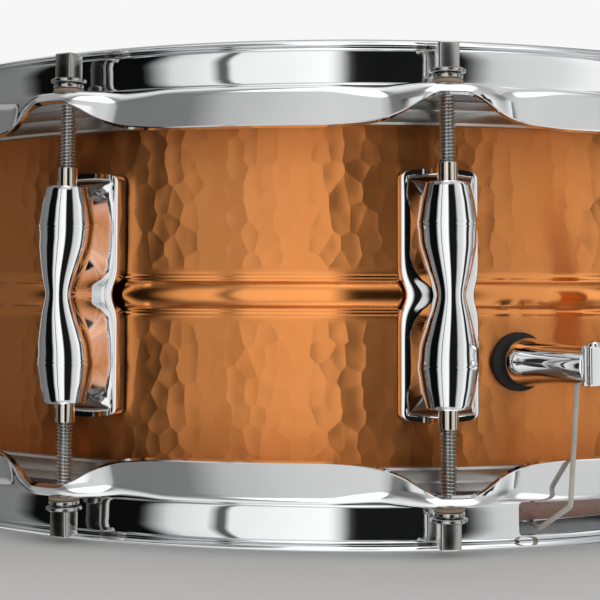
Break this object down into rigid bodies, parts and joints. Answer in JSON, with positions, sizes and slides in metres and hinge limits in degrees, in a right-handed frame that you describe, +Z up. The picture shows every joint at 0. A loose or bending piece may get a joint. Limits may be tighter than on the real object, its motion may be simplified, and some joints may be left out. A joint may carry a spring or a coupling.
{
  "type": "snare drum",
  "caption": "Shallow metal-shell snare drum with tube lugs, flanged hoops, two heads, coiled snare wires and a lever strainer.",
  "frame": {"origin": "on the drum's axis, in the plane the lower hoop's rim stands on", "axes": "+Z up along the drum's axis; +X through the strainer; -X through the butt"},
  "size_m": [0.4153, 0.403, 0.1538],
  "materials": {
    "black_rubber": "matt moulded rubber",
    "brushed_aluminium": "satin, brushed around",
    "chrome": "polished chrome plate",
    "clear_film": "hazy clear polyester film",
    "coated_film": "rough white coating on polyester film",
    "hammered_bronze": "hammered, lightly brushed, clear lacquered",
    "nickel": "bright nickel, slightly warm",
    "plated_steel": "plated, rolled thread",
    "snare_steel": "drawn steel wire and stamped plate",
    "tan_nylon": "moulded tan nylon",
    "white_cord": "braided off-white cord",
    "zinc_steel": "zinc-plated steel"
  },
  "bodies": {
    "drum": {"batter_flesh_hoop": "brushed_aluminium", "batter_head": "coated_film", "batter_hoop": "chrome", "butt_body": "chrome", "butt_clamp_plate": "chrome", "butt_clamp_screws": "chrome", "butt_cords": "white_cord", "butt_screws": "zinc_steel", "fitting_gaskets": "black_rubber", "lug_01": "chrome", "lug_02": "chrome", "lug_03": "chrome", "lug_04": "chrome", "lug_05": "chrome", "lug_06": "chrome", "lug_07": "chrome", "lug_08": "chrome", "lug_09": "chrome", "lug_10": "chrome", "lug_gaskets": "black_rubber", "lug_inserts": "nickel", "lug_screw_washers": "zinc_steel", "lug_screws": "zinc_steel", "rod_nylon_washers": "tan_nylon", "rod_steel_washers": "plated_steel", "shell": "hammered_bronze", "snare_flesh_hoop": "brushed_aluminium", "snare_head": "clear_film", "snare_hoop": "chrome", "strainer_end_caps": "chrome", "strainer_left_post": "chrome", "strainer_right_post": "chrome", "strainer_screws": "zinc_steel", "vent_grommet": "chrome"},
    "batter_rod_01": {"batter_rod_01": "plated_steel"},
    "batter_rod_02": {"batter_rod_02": "plated_steel"},
    "batter_rod_03": {"batter_rod_03": "plated_steel"},
    "batter_rod_04": {"batter_rod_04": "plated_steel"},
    "batter_rod_05": {"batter_rod_05": "plated_steel"},
    "batter_rod_06": {"batter_rod_06": "plated_steel"},
    "batter_rod_07": {"batter_rod_07": "plated_steel"},
    "batter_rod_08": {"batter_rod_08": "plated_steel"},
    "batter_rod_09": {"batter_rod_09": "plated_steel"},
    "batter_rod_10": {"batter_rod_10": "plated_steel"},
    "snare_rod_01": {"snare_rod_01": "plated_steel"},
    "snare_rod_02": {"snare_rod_02": "plated_steel"},
    "snare_rod_03": {"snare_rod_03": "plated_steel"},
    "snare_rod_04": {"snare_rod_04": "plated_steel"},
    "snare_rod_05": {"snare_rod_05": "plated_steel"},
    "snare_rod_06": {"snare_rod_06": "plated_steel"},
    "snare_rod_07": {"snare_rod_07": "plated_steel"},
    "snare_rod_08": {"snare_rod_08": "plated_steel"},
    "snare_rod_09": {"snare_rod_09": "plated_steel"},
    "snare_rod_10": {"snare_rod_10": "plated_steel"},
    "lever": {"drive_cylinder": "chrome", "throw_lever": "chrome"},
    "wheel": {"tension_wheel": "chrome"},
    "cords": {"strainer_cords": "white_cord"},
    "snares": {"snare_strands": "snare_steel", "snare_end_plates": "snare_steel"}
  },
  "joints": [
    {"name": "batter_rod_01_turn", "type": "hinge", "parent": "drum", "child": "batter_rod_01", "pos_m": [0.18213, 0.05918, 0.1364], "axis": [0, 0, 1], "range_deg": [-720, 720]},
    {"name": "batter_rod_02_turn", "type": "hinge", "parent": "drum", "child": "batter_rod_02", "pos_m": [0.11256, 0.15493, 0.1364], "axis": [0, 0, 1], "range_deg": [-720, 720]},
    {"name": "batter_rod_03_turn", "type": "hinge", "parent": "drum", "child": "batter_rod_03", "pos_m": [0, 0.1915, 0.1364], "axis": [0, 0, 1], "range_deg": [-720, 720]},
    {"name": "batter_rod_04_turn", "type": "hinge", "parent": "drum", "child": "batter_rod_04", "pos_m": [-0.11256, 0.15493, 0.1364], "axis": [0, 0, 1], "range_deg": [-720, 720]},
    {"name": "batter_rod_05_turn", "type": "hinge", "parent": "drum", "child": "batter_rod_05", "pos_m": [-0.18213, 0.05918, 0.1364], "axis": [0, 0, 1], "range_deg": [-720, 720]},
    {"name": "batter_rod_06_turn", "type": "hinge", "parent": "drum", "child": "batter_rod_06", "pos_m": [-0.18213, -0.05918, 0.1364], "axis": [0, 0, 1], "range_deg": [-720, 720]},
    {"name": "batter_rod_07_turn", "type": "hinge", "parent": "drum", "child": "batter_rod_07", "pos_m": [-0.11256, -0.15493, 0.1364], "axis": [0, 0, 1], "range_deg": [-720, 720]},
    {"name": "batter_rod_08_turn", "type": "hinge", "parent": "drum", "child": "batter_rod_08", "pos_m": [0, -0.1915, 0.1364], "axis": [0, 0, 1], "range_deg": [-720, 720]},
    {"name": "batter_rod_09_turn", "type": "hinge", "parent": "drum", "child": "batter_rod_09", "pos_m": [0.11256, -0.15493, 0.1364], "axis": [0, 0, 1], "range_deg": [-720, 720]},
    {"name": "batter_rod_10_turn", "type": "hinge", "parent": "drum", "child": "batter_rod_10", "pos_m": [0.18213, -0.05918, 0.1364], "axis": [0, 0, 1], "range_deg": [-720, 720]},
    {"name": "snare_rod_01_turn", "type": "hinge", "parent": "drum", "child": "snare_rod_01", "pos_m": [0.18213, 0.05918, 0.0164], "axis": [0, 0, -1], "range_deg": [-720, 720]},
    {"name": "snare_rod_02_turn", "type": "hinge", "parent": "drum", "child": "snare_rod_02", "pos_m": [0.11256, 0.15493, 0.0164], "axis": [0, 0, -1], "range_deg": [-720, 720]},
    {"name": "snare_rod_03_turn", "type": "hinge", "parent": "drum", "child": "snare_rod_03", "pos_m": [0, 0.1915, 0.0164], "axis": [0, 0, -1], "range_deg": [-720, 720]},
    {"name": "snare_rod_04_turn", "type": "hinge", "parent": "drum", "child": "snare_rod_04", "pos_m": [-0.11256, 0.15493, 0.0164], "axis": [0, 0, -1], "range_deg": [-720, 720]},
    {"name": "snare_rod_05_turn", "type": "hinge", "parent": "drum", "child": "snare_rod_05", "pos_m": [-0.18213, 0.05918, 0.0164], "axis": [0, 0, -1], "range_deg": [-720, 720]},
    {"name": "snare_rod_06_turn", "type": "hinge", "parent": "drum", "child": "snare_rod_06", "pos_m": [-0.18213, -0.05918, 0.0164], "axis": [0, 0, -1], "range_deg": [-720, 720]},
    {"name": "snare_rod_07_turn", "type": "hinge", "parent": "drum", "child": "snare_rod_07", "pos_m": [-0.11256, -0.15493, 0.0164], "axis": [0, 0, -1], "range_deg": [-720, 720]},
    {"name": "snare_rod_08_turn", "type": "hinge", "parent": "drum", "child": "snare_rod_08", "pos_m": [0, -0.1915, 0.0164], "axis": [0, 0, -1], "range_deg": [-720, 720]},
    {"name": "snare_rod_09_turn", "type": "hinge", "parent": "drum", "child": "snare_rod_09", "pos_m": [0.11256, -0.15493, 0.0164], "axis": [0, 0, -1], "range_deg": [-720, 720]},
    {"name": "snare_rod_10_turn", "type": "hinge", "parent": "drum", "child": "snare_rod_10", "pos_m": [0.18213, -0.05918, 0.0164], "axis": [0, 0, -1], "range_deg": [-720, 720]},
    {"name": "lever_throw", "type": "hinge", "parent": "drum", "child": "lever", "pos_m": [0.1932, 0, 0.0559], "axis": [0, 1, 0], "range_deg": [0, 95]},
    {"name": "tension_wheel_turn", "type": "hinge", "parent": "drum", "child": "wheel", "pos_m": [0.1932, 0.036, 0.0559], "axis": [0, 1, 0], "range_deg": [-720, 720]},
    {"name": "cord_release", "type": "slide", "parent": "drum", "child": "cords", "axis": [0, 0, -1], "range_m": [0, 0.00102]},
    {"name": "snare_drop", "type": "hinge", "parent": "drum", "child": "snares", "pos_m": [-0.16, 0, 0.0049], "axis": [0, 1, 0], "range_deg": [0, 0.17872]}
  ],
  "couplings": [
    {"joint": "cord_release", "follows": "lever_throw", "m_per_rad": 0.00060311},
    {"joint": "snare_drop", "follows": "lever_throw", "ratio": 0.0018444}
  ]
}
